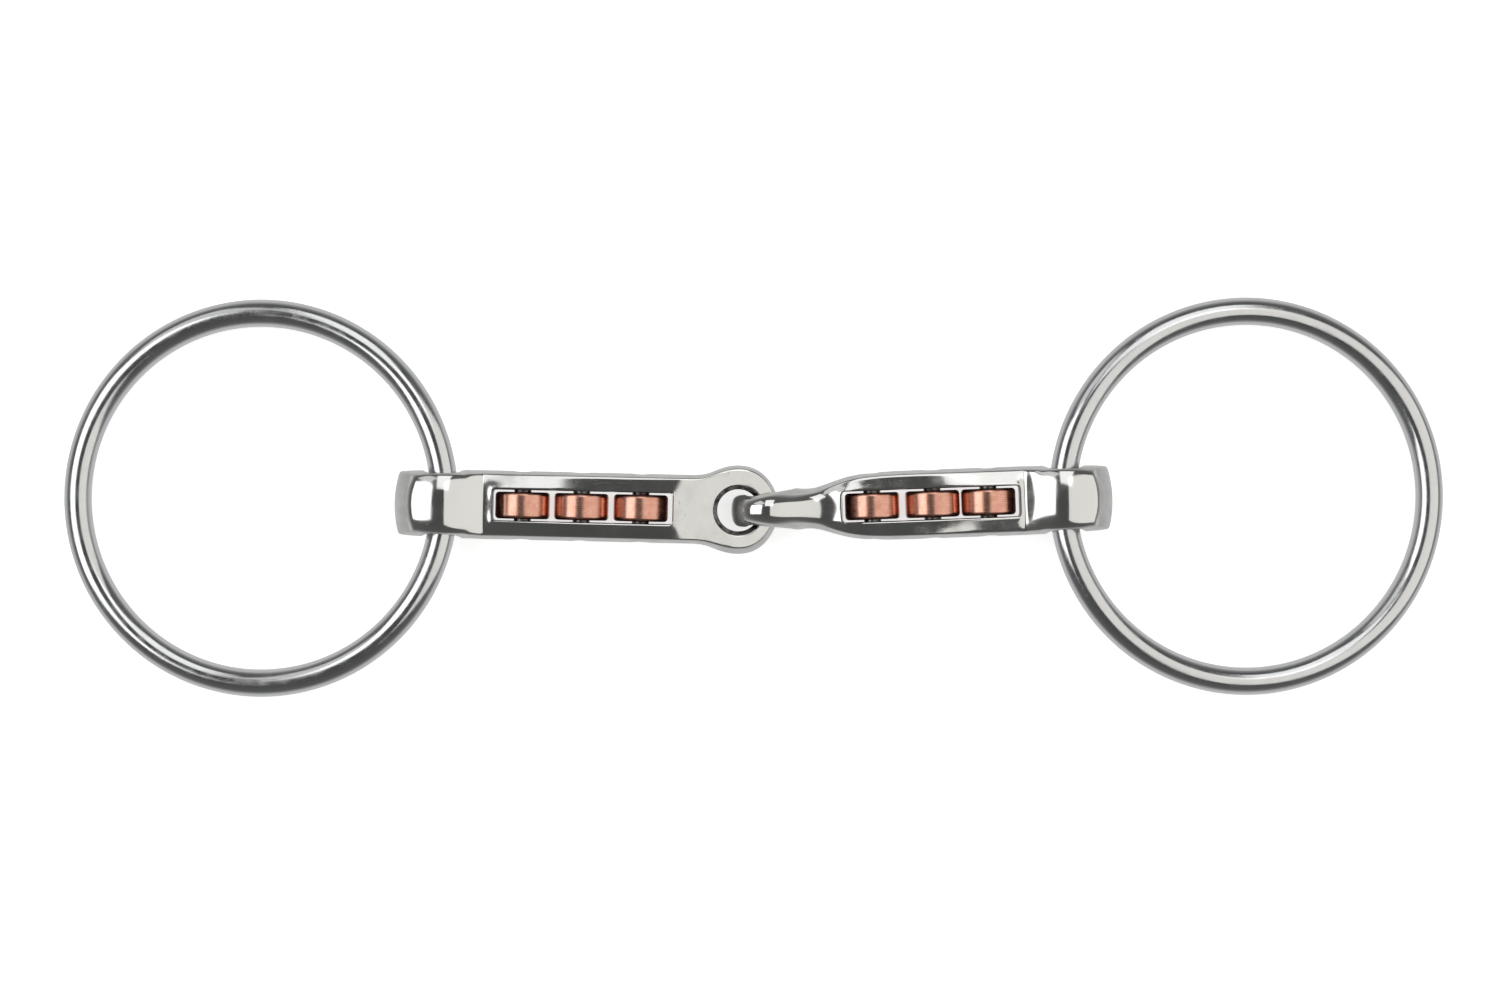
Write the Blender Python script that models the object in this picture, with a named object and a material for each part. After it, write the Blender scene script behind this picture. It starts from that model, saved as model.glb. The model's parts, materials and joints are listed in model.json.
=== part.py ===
"""A loose ring snaffle bit with copper rollers, lying flat. Metres, +Z up, origin below its middle.

Two forged arms hook into each other at the centre joint. Each holds three rollers on pressed pins in a
slot, and a ring that runs loose through the hole at its outer end. An arm is built in its own frame: x runs
outwards from its eye, y across it along the pins, z through its depth, and z = 0 is its widest plane.
"""

import math

import bmesh
import bpy
from mathutils import Matrix, Vector

MM = 0.001

# Rings: round wire, loose in the holes of the arms.
WIRE_RADIUS = 2.9 * MM
RING_RADIUS = 38.8 * MM  # to the middle of the wire
RING_STEPS = 60
WIRE_SIDES = 12

# End blocks, slots and side walls, common to both arms.
HALF_WIDTH = 7.2 * MM  # across the arm, at its widest plane
EDGE_INSET = 1.1 * MM  # the edge of the face lies this far inside the widest plane
HOLE_TO_END = 10.5 * MM
END_INSET = 3.5 * MM  # the same inset at the outer end
END_BOW = 0.9 * MM  # the outer end bows out by this between its corners
BLOCK_DEPTH = 8.3 * MM  # half the depth of the block, over the ring hole
VALLEY_DEPTH = 4.55 * MM  # half the depth of the dip between block and slot
RAIL_DEPTH = 5.3 * MM  # half the depth of the rails, at the middle of the slot
CROWN = 0.5 * MM  # the face falls by this from its middle strip to the edge
BLOCK_CROWN = 0.9 * MM  # and by more over the block
SHOULDER_CROWN = 0.35 * MM
RAIL_CROWN = 0.2 * MM  # at the middle of the slot
OUTER_RAIL_CROWN = 0.9 * MM
VALLEY_CROWN = 0.6 * MM
SLOT_SPREAD = 1.06  # the slot widens by this share towards the faces
SLOT_TO_VALLEY_FALL = 0.25 * MM  # how much deeper the arm is at the slot's outer end than in the valley
HOLE_RADIUS = 3.6 * MM
HOLE_MOUTH_RADIUS = 4.2 * MM
MOUTH_LENGTH = 1.2 * MM
WALL_MARGIN = 0.3 * MM  # between a hole's mouth and the wall around it
ARM_DETAIL = 1  # subdivision levels

# Stations of the end block: distance outwards from the ring hole, narrowing, half depth and lean.
BLOCK_STATIONS = (
    (-5.4 * MM, 0.05 * MM, 6.9 * MM, 0),
    (0, 0.15 * MM, BLOCK_DEPTH + 0.6 * MM, 0),
    (7.0 * MM, 0.35 * MM, 7.3 * MM, 1.4 * MM),
)
BLOCK_MIDDLE = 2.6 * MM  # half the width of the middle strip of its face
END_NARROWING = 0.6 * MM
END_DEPTH = 6.3 * MM
VALLEY_TO_HOLE = 8.4 * MM
SHOULDER_RUN = 5.5 * MM  # from the slot's inner end to the full width
RAIL_FALL = 7.5 * MM  # the rails fall towards the valley over this length

# Eyes of the centre joint.
EYE_RADIUS = 9.3 * MM  # flat eye of the left arm, outside, across the arm
EYE_STRETCH = 0.85  # and along the arm by this share
EYE_OFFSET = -0.6 * MM  # its outline is centred this far from its bore
EYE_BORE = 4.4 * MM
EYE_MOUTH = 5.3 * MM  # its bore widens to this at both faces
EYE_CHAMFER = 0.9 * MM  # and does so over this depth
EYE_SOFT_INSET = 2.0 * MM  # one edge of its face is rounded more than the other
EYE_DEPTH = 3.4 * MM  # half its depth, at its bore
FACE_SLOPE = math.tan(math.radians(6))  # its faces taper towards its tip
LOOP_RADIUS = 8.3 * MM  # upright loop of the right arm, outside
LOOP_BORE = 4.7 * MM
LOOP_MOUTH = 5.3 * MM
LOOP_CHEEK = 0.8 * MM  # how far the loop swells sideways where it meets the neck
LOOP_TIP_WIDTH = 3.3 * MM  # half widths along the loop and its neck
LOOP_WIDTH = 4.5 * MM
NECK_WIDTH = 4.1 * MM
WAIST_WIDTH = 4.6 * MM
WAIST = 10.6 * MM  # the thinnest place, from the loop's bore
WAIST_DEPTH = 4.0 * MM
NECK_DEPTH = 5.6 * MM
LOOP_INSET = 1.3 * MM
LOOP_TIP_BOW = -0.8 * MM  # its tip is rounded towards its sides
STRAND_MIDDLE = 1.5 * MM  # half the width of the middle strip along its outer face
STRAND_CROWN = 0.9 * MM
WAIST_MIDDLE = 1.8 * MM
WAIST_CROWN = 0.7 * MM

# Stations of the flat eye's neck: distance from its bore, and how far the edges lie back towards the eye.
NECK_STATIONS = ((11.0 * MM, 4.4 * MM), (12.3 * MM, 2.0 * MM))
NECK_MIDDLE = 3.4 * MM

# Rollers and their pins.
SLOT_HALF_HEIGHT = 3.15 * MM
ROLLER_RADIUS = 5.7 * MM
ROLLER_HALF_WIDTH = 2.8 * MM
ROLLER_EDGE = 0.8 * MM
ROLLER_WAIST = 0.8 * MM  # half the width of its straight middle
ROLLER_BORE = 2.1 * MM
ROLLER_STEPS = 24
PIN_RADIUS = 1.8 * MM
PIN_HALF_LENGTH = 7.0 * MM
PIN_GAP = 0.2 * MM
PIN_SIDES = 16
PIN_NAMES = ("inner", "middle", "outer")

# How each arm lies, and distances along it from its own eye.
REST_HEIGHT = BLOCK_DEPTH
LEFT = {
    "eye": Vector((-3.2 * MM, -2.75 * MM, REST_HEIGHT)),
    "turn": math.radians(180 - 1.3),
    "hole": 61.8 * MM,
    "slot": (13.7 * MM, 51.4 * MM),
    "pins": (20.4 * MM, 32.8 * MM, 45.1 * MM),
    "ring_turn": math.radians(-0.4),
    "neck_width": HALF_WIDTH,
    "neck_depth": EYE_DEPTH + FACE_SLOPE * 13.7 * MM,
    "neck_crown": 0,
    "shoulder_depth": 4.95 * MM,
}
RIGHT = {
    "eye": Vector((3.65 * MM, -2.65 * MM, REST_HEIGHT)),
    "turn": math.radians(2.1),
    "hole": 61.4 * MM,
    "slot": (14.9 * MM, 52.1 * MM),
    "pins": (21.2 * MM, 33.8 * MM, 45.5 * MM),
    "ring_turn": math.radians(-1.2),
    "neck_width": 6.15 * MM,
    "neck_depth": 5.1 * MM,
    "neck_crown": CROWN,
    "shoulder_depth": 5.2 * MM,
}

# A subdivided loop of eight corners lies inside them by this share of their radius.
OCTAGON_SHARE = (4 + 2 * math.cos(math.radians(45))) / 6

# Columns of the cages: the slot's length and the ring's hole, from where the slot starts, and the loop.
SLOT_COLUMNS = 4
RING_HOLE_COLUMN = 7
LOOP_COLUMN = 1

# Marks for the vertices of the flat eye, which have no column of their own.
RIM, BORE = -1, -2

# How crisp the edges of the faces, of the slots and of the bores stay.
FACE_CREASE = 0.5
SLOT_CREASE = 0.6
CORNER_CREASE = 0.5
MOUTH_CREASE = 0.55
END_CREASE = 0.4
VALLEY_CREASE = 0.4
BORE_CREASE = 0.6

STEEL = ((0.62, 0.62, 0.60), 0.16, 1.0)
RING_STEEL = ((0.58, 0.59, 0.60), 0.2, 1.0)
PIN_STEEL = ((0.45, 0.44, 0.42), 0.35, 1.0)
COPPER = ((0.72, 0.36, 0.24), 0.28, 1.0)


def make_material(name, finish):
    colour, roughness, metallic = finish
    material = bpy.data.materials.new(name)
    material.use_nodes = True
    shader = material.node_tree.nodes["Principled BSDF"]
    shader.inputs["Base Color"].default_value = (*colour, 1)
    shader.inputs["Roughness"].default_value = roughness
    shader.inputs["Metallic"].default_value = metallic
    return material


def make_object(name, bm, finish, parent=None):
    bmesh.ops.recalc_face_normals(bm, faces=bm.faces)
    mesh = bpy.data.meshes.new(name)
    bm.to_mesh(mesh)
    bm.free()
    mesh.shade_smooth()
    mesh.set_sharp_from_angle(angle=math.radians(40))
    obj = bpy.data.objects.new(name, mesh)
    bpy.context.scene.collection.objects.link(obj)
    mesh.materials.append(make_material(name, finish))
    obj.parent = parent
    return obj


def make_empty(name, location, rotation, parent=None):
    empty = bpy.data.objects.new(name, None)
    bpy.context.scene.collection.objects.link(empty)
    empty.location = location
    empty.rotation_euler = rotation
    empty.parent = parent
    return empty


def spin_profile(points, steps):
    """A closed profile of (radius, along) points, turned about the local Y axis."""
    bm = bmesh.new()
    verts = [bm.verts.new((radius, along, 0)) for radius, along in points]
    edges = [bm.edges.new((verts[i - 1], verts[i])) for i in range(len(verts))]
    bmesh.ops.spin(bm, geom=verts + edges, cent=(0, 0, 0), axis=(0, 1, 0), angle=math.tau,
                   steps=steps, use_merge=True)
    return bm


def column(x, width, depth, inside=SLOT_HALF_HEIGHT, **more):
    """One station of an arm: its place, half its width, half its depth, and any lean, bow or inset."""
    return {"x": x, "width": width + EDGE_INSET / 3, "depth": depth, "inside": inside, **more}


def slot_and_block(arm):
    """The stations from the slot's inner end to the outer end of the arm."""
    hole = arm["hole"]
    start, end = arm["slot"]
    slot = {"inside_share": SLOT_SPREAD}
    stations = [
        column(start, arm["neck_width"], arm["neck_depth"], crown=arm["neck_crown"], **slot),
        column(start + SHOULDER_RUN, HALF_WIDTH, arm["shoulder_depth"], crown=SHOULDER_CROWN, **slot),
        column((start + end) / 2, HALF_WIDTH, RAIL_DEPTH, crown=RAIL_CROWN, **slot),
        column(end - RAIL_FALL, HALF_WIDTH, RAIL_DEPTH, crown=OUTER_RAIL_CROWN, **slot),
        column(end, HALF_WIDTH, VALLEY_DEPTH + SLOT_TO_VALLEY_FALL, crown=OUTER_RAIL_CROWN, **slot),
        column(hole - VALLEY_TO_HOLE, HALF_WIDTH, VALLEY_DEPTH, crown=VALLEY_CROWN),
    ]
    block = {"inside": BLOCK_MIDDLE, "crown": BLOCK_CROWN}
    for outwards, narrowing, depth, lean in BLOCK_STATIONS:
        stations.append(column(hole + outwards, HALF_WIDTH - narrowing, depth, lean=lean, **block))
    stations.append(column(hole + HOLE_TO_END + END_INSET / 3, HALF_WIDTH - END_NARROWING, END_DEPTH,
                           lean=END_INSET + END_INSET / 3, bow=END_BOW, **block))
    return stations


def raised_place(cage, vert):
    """Where a vertex goes once it is raised from the widest plane to the face."""
    mark = vert[cage["column"]]
    flat = vert.co
    if mark == RIM:
        inset = EYE_SOFT_INSET if flat.y > 0 else EDGE_INSET
        spot = flat + (Vector((EYE_OFFSET, 0, 0)) - flat).normalized() * inset
    elif mark == BORE:
        spot = flat * (EYE_MOUTH / EYE_BORE)
    if mark in (RIM, BORE):
        return Vector((spot.x, spot.y, EYE_DEPTH + FACE_SLOPE * spot.x))
    station = cage["columns"][mark]
    at_edge = vert[cage["row"]] in (0, 3)
    x = flat.x - station.get("lean", 0)
    if not at_edge:
        return Vector((x, flat.y * station.get("inside_share", 1), station["depth"]))
    inset = math.copysign(station.get("inset", EDGE_INSET), flat.y)
    return Vector((x, flat.y - inset, station["depth"] - station.get("crown", CROWN)))


def start_cage(columns):
    """A flat grid at the widest plane, four vertices to a column: arm edge, slot side, slot side, edge."""
    bm = bmesh.new()
    cage = {"bm": bm, "columns": columns}
    cage["crease"] = bm.edges.layers.float.new("crease_edge")
    cage["column"] = bm.verts.layers.int.new("column")
    cage["row"] = bm.verts.layers.int.new("row")
    last = len(columns) - 1
    bmesh.ops.create_grid(bm, x_segments=last, y_segments=3, size=1)
    for vert in bm.verts:
        vert[cage["column"]] = round((vert.co.x + 1) / 2 * last)
        vert[cage["row"]] = round((vert.co.y + 1) / 2 * 3)
        station = columns[vert[cage["column"]]]
        at_edge = vert[cage["row"]] in (0, 3)
        half = station["width"] if at_edge else station["inside"]
        x = station["x"] - (station.get("bow", 0) if at_edge else 0)
        vert.co = Vector((x, math.copysign(half, vert.co.y), 0))
    return cage


def cut_slot(cage, first, last):
    """Take out the middle faces between two columns."""
    def inside(vert):
        return vert[cage["row"]] in (1, 2) and first <= vert[cage["column"]] <= last

    faces = [face for face in cage["bm"].faces if all(inside(vert) for vert in face.verts)]
    bmesh.ops.delete(cage["bm"], geom=faces, context="FACES")


def add_flat_eye(cage):
    """A ring of eight faces, joined to the four vertices of column 0."""
    bm = cage["bm"]
    rim_radius = (EYE_RADIUS + EDGE_INSET / 3) / OCTAGON_SHARE
    stretch = Matrix.Diagonal((EYE_STRETCH, 1, 1, 1))
    lie = Matrix.Translation((EYE_OFFSET, 0, 0)) @ stretch @ Matrix.Rotation(math.radians(22.5), 4, "Z")
    for vert in bm.verts:
        if vert[cage["column"]] == 0:
            angle = math.radians(67.5 if vert[cage["row"]] in (0, 3) else 22.5)
            across = math.copysign(rim_radius * math.sin(angle), vert.co.y)
            vert.co = Vector((EYE_OFFSET + EYE_STRETCH * rim_radius * math.cos(angle), across, 0))
            vert[cage["column"]] = RIM
    rim = bmesh.ops.create_circle(bm, segments=8, radius=rim_radius, matrix=lie)["verts"]
    rim_edges = {edge for vert in rim for edge in vert.link_edges}
    made = bmesh.ops.extrude_edge_only(bm, edges=list(rim_edges))["geom"]
    bore = [item for item in made if isinstance(item, bmesh.types.BMVert)]
    for vert in rim:
        vert[cage["column"]] = RIM
    for vert in bore:
        vert[cage["column"]] = BORE
        outwards = Vector(((vert.co.x - EYE_OFFSET) / EYE_STRETCH, vert.co.y, 0)).normalized()
        vert.co = outwards * EYE_BORE / OCTAGON_SHARE
    bmesh.ops.remove_doubles(bm, verts=bm.verts, dist=0.01 * MM)


def raise_and_mirror(cage):
    """Extrude the plan up to the face, crease the face's edges, and mirror it below."""
    bm = cage["bm"]
    floor = list(bm.faces)
    made = bmesh.ops.extrude_face_region(bm, geom=floor)["geom"]
    top = [item for item in made if isinstance(item, bmesh.types.BMFace)]
    bmesh.ops.delete(bm, geom=[face for face in floor if face.is_valid], context="FACES_ONLY")
    raised = {vert for face in top for vert in face.verts}
    places = {vert: raised_place(cage, vert) for vert in raised}
    for vert, place in places.items():
        vert.co = place
    for face in top:
        for edge in face.edges:
            if any(other not in top for other in edge.link_faces):
                rows = {vert[cage["row"]] for vert in edge.verts}
                at_slot = rows <= {1, 2} and min(vert[cage["column"]] for vert in edge.verts) > 0
                edge[cage["crease"]] = SLOT_CREASE if at_slot else FACE_CREASE
    loose = [edge for edge in bm.edges if not edge.link_faces]
    bmesh.ops.delete(bm, geom=loose, context="EDGES")
    bmesh.ops.mirror(bm, geom=bm.verts[:] + bm.edges[:] + bm.faces[:], axis="Z", merge_dist=0.01 * MM)


def crease_end(cage):
    """Keep the outer end's upright corners tight, and the valley where the block rises from the rails."""
    last = len(cage["columns"]) - 1
    valley = last - len(BLOCK_STATIONS) - 1
    for edge in cage["bm"].edges:
        low, high = edge.verts
        columns = {low[cage["column"]], high[cage["column"]]}
        rows = {low[cage["row"]], high[cage["row"]]}
        upright = abs(low.co.z - high.co.z) > MM
        if upright and columns == {last} and rows in ({0}, {3}):
            edge[cage["crease"]] = END_CREASE
        elif columns == {valley} and len(rows) == 2:
            edge[cage["crease"]] = VALLEY_CREASE


def chamfer_eye(cage):
    """Cut one more loop into the bore's wall, at the foot of its chamfer."""
    bm = cage["bm"]
    wall = [edge for edge in bm.edges
            if all(vert[cage["column"]] == BORE for vert in edge.verts)
            and abs(edge.verts[0].co.z - edge.verts[1].co.z) > MM]
    made = bmesh.ops.subdivide_edges(bm, edges=wall, cuts=1, use_grid_fill=True)["geom_inner"]
    foot = [item for item in made if isinstance(item, bmesh.types.BMVert)]
    for vert in foot:
        outwards = Vector((vert.co.x, vert.co.y, 0)).normalized()
        place = outwards * EYE_BORE / OCTAGON_SHARE
        mouth = outwards * EYE_MOUTH / OCTAGON_SHARE
        place.z = math.copysign(EYE_DEPTH + FACE_SLOPE * mouth.x - EYE_CHAMFER, vert.co.z)
        vert.co = place
    for edge in bm.edges:
        if all(vert in foot for vert in edge.verts):
            edge[cage["crease"]] = BORE_CREASE


def crease_slot_corners(cage, first, last):
    """Keep the four upright corners of the slot tighter than its sides."""
    for edge in cage["bm"].edges:
        low, high = edge.verts
        columns = {low[cage["column"]], high[cage["column"]]}
        rows = {low[cage["row"]], high[cage["row"]]}
        upright = abs(low.co.z - high.co.z) > MM
        if upright and columns in ({first}, {last}) and rows in ({1}, {2}):
            edge[cage["crease"]] = CORNER_CREASE


def cut_cross_hole(cage, middle, radius, mouth, cheek=0):
    """A round hole along y through both side walls. A cheek stands out beside its outer half."""
    bm = cage["bm"]
    x = cage["columns"][middle]["x"]
    near = range(middle - 1, middle + 2)
    ends = []
    for row in (0, 3):
        wall = [face for face in bm.faces
                if all(vert[cage["row"]] == row and vert[cage["column"]] in near for vert in face.verts)]
        side = math.copysign(1, row - 1)
        bmesh.ops.inset_region(bm, faces=wall, thickness=WALL_MARGIN)
        place_octagon(wall, x, mouth / OCTAGON_SHARE, 0, side * cheek)
        rim = {edge for face in wall for edge in face.edges
               if any(other not in wall for other in edge.link_faces)}
        for edge in rim:
            edge[cage["crease"]] = MOUTH_CREASE
        made = bmesh.ops.extrude_face_region(bm, geom=wall)["geom"]
        plug = [item for item in made if isinstance(item, bmesh.types.BMFace)]
        place_octagon(plug, x, radius / OCTAGON_SHARE, -side * MOUTH_LENGTH, 0)
        edges = {edge for face in plug for edge in face.edges}
        bmesh.ops.delete(bm, geom=plug + [face for face in wall if face.is_valid], context="FACES")
        ends += [edge for edge in edges if edge.is_valid]
    bmesh.ops.bridge_loops(bm, edges=ends)


def place_octagon(faces, x, radius, shift, cheek):
    """Move the eight outer vertices of a block of four faces onto a circle in the x, z plane.

    The two at 45 degrees on the outer side also move out by the cheek.
    """
    verts = {vert for face in faces for vert in face.verts}
    counts = {vert: sum(vert in face.verts for face in faces) for vert in verts}
    centre = max(verts, key=counts.get)
    for vert in verts - {centre}:
        offsets = (vert.co.x - centre.co.x, vert.co.z - centre.co.z)
        across, up = (0 if abs(offset) < 0.15 * radius else math.copysign(1, offset) for offset in offsets)
        angle = math.atan2(up, across)
        y = vert.co.y + shift + (cheek if across > 0 and up else 0)
        vert.co = Vector((x + radius * math.cos(angle), y, radius * math.sin(angle)))


def left_arm_cage():
    """The neck's edge stations lie nearer to the eye than their middles, along its round outline."""
    neck = [column(x, HALF_WIDTH, EYE_DEPTH + FACE_SLOPE * x, inside=NECK_MIDDLE, bow=bow,
                   crown=bow * FACE_SLOPE) for x, bow in NECK_STATIONS]
    cage = start_cage([column(0, 0, 0)] + neck + slot_and_block(LEFT))
    slot_start = 1 + len(neck)
    add_flat_eye(cage)
    cut_slot(cage, slot_start, slot_start + SLOT_COLUMNS)
    raise_and_mirror(cage)
    chamfer_eye(cage)
    crease_slot_corners(cage, slot_start, slot_start + SLOT_COLUMNS)
    crease_end(cage)
    cut_cross_hole(cage, slot_start + RING_HOLE_COLUMN, HOLE_RADIUS, HOLE_MOUTH_RADIUS)
    return cage["bm"]


def right_arm_cage():
    reach = LOOP_RADIUS / OCTAGON_SHARE
    slant = reach * math.cos(math.radians(45))
    strand = {"inside": STRAND_MIDDLE, "crown": STRAND_CROWN}
    neck = [
        column(-reach, LOOP_TIP_WIDTH, slant, lean=slant - reach, bow=LOOP_TIP_BOW, **strand),
        column(0, LOOP_WIDTH, reach, inset=LOOP_INSET, **strand),
        column(reach, NECK_WIDTH, NECK_DEPTH, lean=reach - NECK_DEPTH, inset=LOOP_INSET, **strand),
        column(WAIST, WAIST_WIDTH, WAIST_DEPTH, inset=LOOP_INSET, inside=WAIST_MIDDLE, crown=WAIST_CROWN),
    ]
    cage = start_cage(neck + slot_and_block(RIGHT))
    slot_start = len(neck)
    cut_slot(cage, slot_start, slot_start + SLOT_COLUMNS)
    raise_and_mirror(cage)
    crease_slot_corners(cage, slot_start, slot_start + SLOT_COLUMNS)
    crease_end(cage)
    cut_cross_hole(cage, slot_start + RING_HOLE_COLUMN, HOLE_RADIUS, HOLE_MOUTH_RADIUS)
    cut_cross_hole(cage, LOOP_COLUMN, LOOP_BORE, LOOP_MOUTH, LOOP_CHEEK)
    return cage["bm"]


def make_cutter(name, x, parent):
    """A round cutter for a pin's hole, across the arm."""
    bm = bmesh.new()
    place = Matrix.Translation((x, 0, 0)) @ Matrix.Rotation(math.radians(90), 4, "X")
    bmesh.ops.create_cone(bm, cap_ends=True, segments=PIN_SIDES, radius1=PIN_RADIUS + PIN_GAP,
                          radius2=PIN_RADIUS + PIN_GAP, depth=3 * HALF_WIDTH, matrix=place)
    cutter = make_object(name, bm, PIN_STEEL, parent)
    cutter.hide_render = True
    cutter.display_type = "WIRE"
    return cutter


def make_arm(name, bm, arm, base):
    obj = make_object(name, bm, STEEL, base)
    rounding = obj.modifiers.new("rounding", "SUBSURF")
    rounding.levels = ARM_DETAIL
    rounding.render_levels = ARM_DETAIL
    for pin, x in zip(PIN_NAMES, arm["pins"]):
        hole = obj.modifiers.new(f"{pin} pin hole", "BOOLEAN")
        hole.operation = "DIFFERENCE"
        hole.solver = "EXACT"
        hole.object = make_cutter(f"{name}_{pin}_cutter", x, base)
    return obj


def make_ring(name, base, arm):
    """Its origin is where its wire passes through the arm, on the axis that it swings about."""
    bow = RING_RADIUS - math.sqrt(RING_RADIUS ** 2 - HALF_WIDTH ** 2)
    tilt = math.asin((REST_HEIGHT - WIRE_RADIUS) / (2 * RING_RADIUS))
    pivot = make_empty(f"{name}_swing", (arm["hole"], 0, 0), (0, tilt, arm["ring_turn"]), base)
    wire = [(RING_RADIUS + WIRE_RADIUS * math.cos(math.tau * i / WIRE_SIDES),
             WIRE_RADIUS * math.sin(math.tau * i / WIRE_SIDES)) for i in range(WIRE_SIDES)]
    ring = make_object(name, spin_profile(wire, RING_STEPS), RING_STEEL, pivot)
    ring.rotation_euler = (math.radians(90), 0, 0)
    ring.location = (RING_RADIUS - bow / 2, 0, 0)
    return ring


def roller_profile():
    """Half of it from the bore outwards, then mirrored: a barrel with rounded edges."""
    rounded = []
    for i in range(4):
        angle = math.radians(30 * i)
        rounded.append((ROLLER_RADIUS - ROLLER_EDGE * (1 - math.cos(angle)),
                        ROLLER_HALF_WIDTH - ROLLER_EDGE * (1 - math.sin(angle))))
    upper = [(ROLLER_RADIUS, ROLLER_WAIST)] + rounded[1:] + [(ROLLER_BORE, ROLLER_HALF_WIDTH)]
    return [(radius, -along) for radius, along in reversed(upper)] + upper


def make_roller(name, x, base):
    axle = make_empty(f"{name}_axle", (x, 0, 0), (0, 0, 0), base)
    return make_object(name, spin_profile(roller_profile(), ROLLER_STEPS), COPPER, axle)


def make_pin(name, x, base):
    bm = bmesh.new()
    across = Matrix.Rotation(math.radians(90), 4, "X")
    bmesh.ops.create_cone(bm, cap_ends=True, segments=PIN_SIDES, radius1=PIN_RADIUS, radius2=PIN_RADIUS,
                          depth=2 * PIN_HALF_LENGTH, matrix=across)
    pin = make_object(name, bm, PIN_STEEL, base)
    pin.location = (x, 0, 0)
    return pin


def main():
    for obj in list(bpy.data.objects):
        bpy.data.objects.remove(obj)
    for side, arm, cage in (("left", LEFT, left_arm_cage), ("right", RIGHT, right_arm_cage)):
        base = make_empty(f"{side}_arm_base", arm["eye"], (0, 0, arm["turn"]))
        make_arm(f"{side}_arm", cage(), arm, base)
        make_ring(f"{side}_ring", base, arm)
        for pin, x in zip(PIN_NAMES, arm["pins"]):
            make_roller(f"{side}_roller_{pin}", x, base)
            make_pin(f"{side}_pin_{pin}", x, base)


main()
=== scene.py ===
import json
import math

import bmesh
import bpy
from mathutils import Euler, Matrix, Vector, noise


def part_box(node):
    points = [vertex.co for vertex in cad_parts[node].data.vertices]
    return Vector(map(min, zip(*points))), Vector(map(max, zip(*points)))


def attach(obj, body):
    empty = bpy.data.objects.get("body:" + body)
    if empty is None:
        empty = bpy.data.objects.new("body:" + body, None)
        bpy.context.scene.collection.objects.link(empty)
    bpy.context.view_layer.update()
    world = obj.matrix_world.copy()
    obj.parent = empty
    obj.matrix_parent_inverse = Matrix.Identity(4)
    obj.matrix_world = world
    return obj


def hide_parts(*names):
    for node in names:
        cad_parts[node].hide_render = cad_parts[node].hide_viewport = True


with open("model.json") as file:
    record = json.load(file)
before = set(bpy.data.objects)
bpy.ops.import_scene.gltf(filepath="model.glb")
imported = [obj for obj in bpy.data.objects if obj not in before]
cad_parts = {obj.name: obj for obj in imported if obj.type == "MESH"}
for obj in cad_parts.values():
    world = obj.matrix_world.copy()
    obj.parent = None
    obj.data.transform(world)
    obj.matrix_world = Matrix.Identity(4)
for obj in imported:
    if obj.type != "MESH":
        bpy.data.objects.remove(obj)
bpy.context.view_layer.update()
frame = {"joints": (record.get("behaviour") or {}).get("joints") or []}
joints = {joint["name"]: joint for joint in frame["joints"]}
mm = 0.001
pinNames = ("inner", "middle", "outer")

scene = bpy.context.scene
scene.view_settings.view_transform = "Standard"


def startPaint(name, colour, roughness, metallic=1.0):
    paint = bpy.data.materials.new(name)
    paint.use_nodes = True
    shader = paint.node_tree.nodes["Principled BSDF"]
    shader.inputs["Base Color"].default_value = (*colour, 1)
    shader.inputs["Roughness"].default_value = roughness
    shader.inputs["Metallic"].default_value = metallic
    return paint, shader


def addNode(paint, kind, settings=None, **inputs):
    # settings are the node's own options, inputs are values or the sockets to link
    node = paint.node_tree.nodes.new(kind)
    for name, value in (settings or {}).items():
        setattr(node, name, value)
    for name, value in inputs.items():
        link(paint, value, node.inputs[name.replace("_", " ")])
    return node


def link(paint, value, socket):
    if isinstance(value, bpy.types.NodeSocket):
        paint.node_tree.links.new(value, socket)
    else:
        socket.default_value = value


def stretched(paint, source, scales):
    mapping = addNode(paint, "ShaderNodeMapping", Vector=source)
    mapping.inputs["Scale"].default_value = scales
    return mapping.outputs["Vector"]


cloudSpan = (0.35, 0.7)  # where the values of a soft noise mostly lie
grainSpan = (0.3, 0.7)


def noiseOn(paint, where, scale, detail=3.0, roughness=0.5):
    node = addNode(paint, "ShaderNodeTexNoise", Vector=where, Scale=scale, Detail=detail,
                   Roughness=roughness)
    return node.outputs["Fac"]


def ranged(paint, value, low, high, outLow, outHigh):
    node = addNode(paint, "ShaderNodeMapRange", Value=value)
    node.inputs["From Min"].default_value = low
    node.inputs["From Max"].default_value = high
    node.inputs["To Min"].default_value = outLow
    node.inputs["To Max"].default_value = outHigh
    return node.outputs["Result"]


def sums(paint, operation, first, second):
    node = addNode(paint, "ShaderNodeMath", {"operation": operation})
    link(paint, first, node.inputs[0])
    link(paint, second, node.inputs[1])
    return node.outputs["Value"]


def mixed(paint, share, first, second):
    node = addNode(paint, "ShaderNodeMix", {"data_type": "RGBA"})
    link(paint, share, node.inputs["Factor"])
    link(paint, first if isinstance(first, bpy.types.NodeSocket) else (*first, 1), node.inputs["A"])
    link(paint, second if isinstance(second, bpy.types.NodeSocket) else (*second, 1), node.inputs["B"])
    return node.outputs["Result"]


def bumped(paint, shader, heights):
    # heights are (height socket, distance in metres), from coarse to fine
    normal = None
    for height, distance in heights:
        bump = addNode(paint, "ShaderNodeBump", Height=height, Distance=distance, Strength=1.0)
        if normal:
            link(paint, normal, bump.inputs["Normal"])
        normal = bump.outputs["Normal"]
    link(paint, normal, shader.inputs["Normal"])


def objectPlace(paint):
    return addNode(paint, "ShaderNodeTexCoord").outputs["Object"]


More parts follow.
